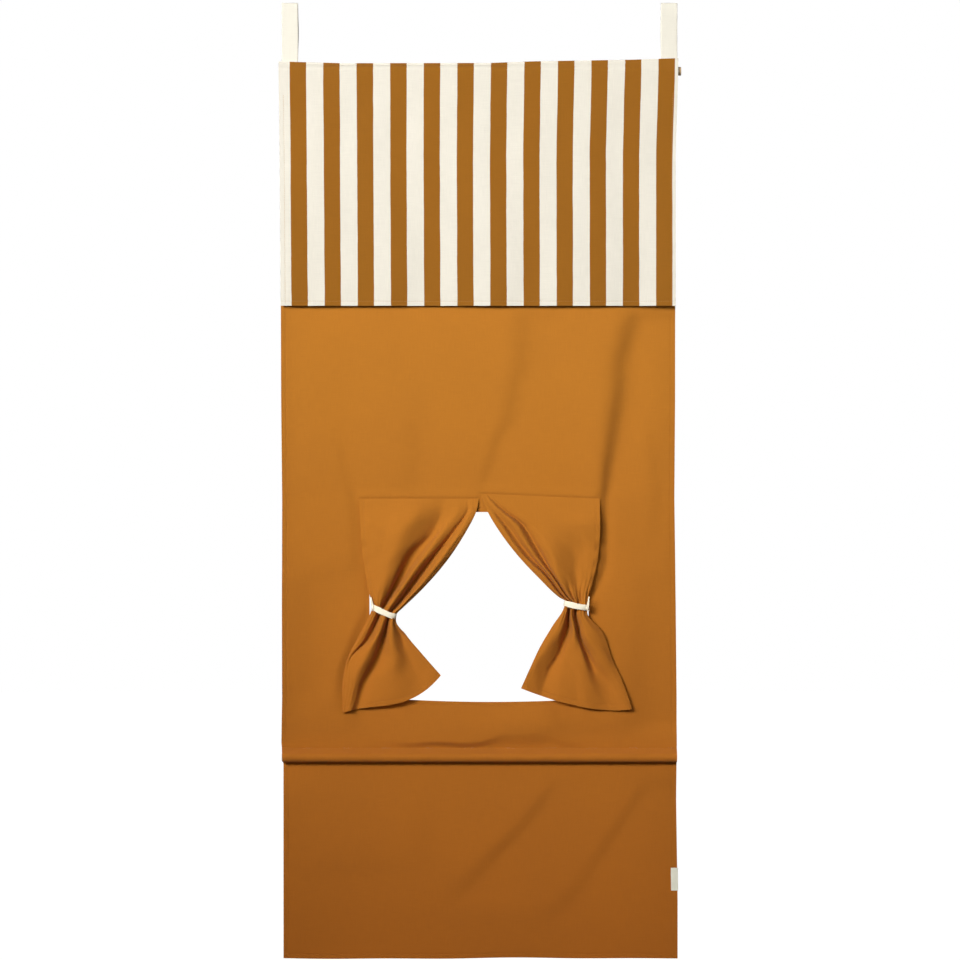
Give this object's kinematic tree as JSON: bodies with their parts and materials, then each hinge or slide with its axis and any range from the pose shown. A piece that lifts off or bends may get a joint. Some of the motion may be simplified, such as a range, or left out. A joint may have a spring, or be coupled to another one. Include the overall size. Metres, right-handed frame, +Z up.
{
  "type": "hanging puppet theatre",
  "caption": "Cloth doorway puppet theatre: striped valance, stage window with tied-back curtains, lower panel and two rods, hung from webbing loops.",
  "frame": {"origin": "the hanging line, midway between the two webbing loops, level with the inner tops where a hook or a rod bears", "axes": "X to the viewer's right along the rods, -Y towards the audience, +Z up"},
  "size_m": [0.736, 0.0365, 1.7575],
  "materials": {
    "ochre_canvas": "matte",
    "striped_canvas": "matte",
    "cream_webbing": "matte",
    "cream_tape": "matte",
    "label_satin": "satin",
    "rod_wood": "satin"
  },
  "bodies": {
    "hanging_cloth": {"main_panel": "ochre_canvas", "window_facing": "ochre_canvas", "top_rod_pocket": "ochre_canvas", "left_hanging_loop": "cream_webbing", "right_hanging_loop": "cream_webbing", "lower_rod_pocket": "ochre_canvas"},
    "valance_flap": {"valance": "striped_canvas"},
    "lower_flap": {"lower_panel": "ochre_canvas", "side_label": "label_satin"},
    "left_curtain_bundle": {"left_curtain": "ochre_canvas", "left_tie": "cream_tape"},
    "right_curtain_bundle": {"right_curtain": "ochre_canvas", "right_tie": "cream_tape"},
    "top_rod": {"top_dowel": "rod_wood"},
    "lower_rod": {"lower_dowel": "rod_wood"}
  },
  "joints": [
    {"name": "valance_lift", "type": "hinge", "parent": "hanging_cloth", "child": "valance_flap", "pos_m": [0, -0.0035, -0.106], "axis": [-1, 0, 0], "range_deg": [0, 140]},
    {"name": "lower_panel_swing", "type": "hinge", "parent": "hanging_cloth", "child": "lower_flap", "pos_m": [0, 0, -1.3943], "axis": [-1, 0, 0], "range_deg": [-150, 80]},
    {"name": "left_curtain_lift", "type": "hinge", "parent": "hanging_cloth", "child": "left_curtain_bundle", "pos_m": [0, -0.0011, -0.9104], "axis": [-1, 0, 0], "range_deg": [0, 60]},
    {"name": "right_curtain_lift", "type": "hinge", "parent": "hanging_cloth", "child": "right_curtain_bundle", "pos_m": [0, -0.0011, -0.9104], "axis": [-1, 0, 0], "range_deg": [0, 60]},
    {"name": "top_rod_slide", "type": "slide", "parent": "hanging_cloth", "child": "top_rod", "axis": [1, 0, 0], "range_m": [0, 0.73]},
    {"name": "lower_rod_slide", "type": "slide", "parent": "hanging_cloth", "child": "lower_rod", "axis": [1, 0, 0], "range_m": [0, 0.73]}
  ]
}
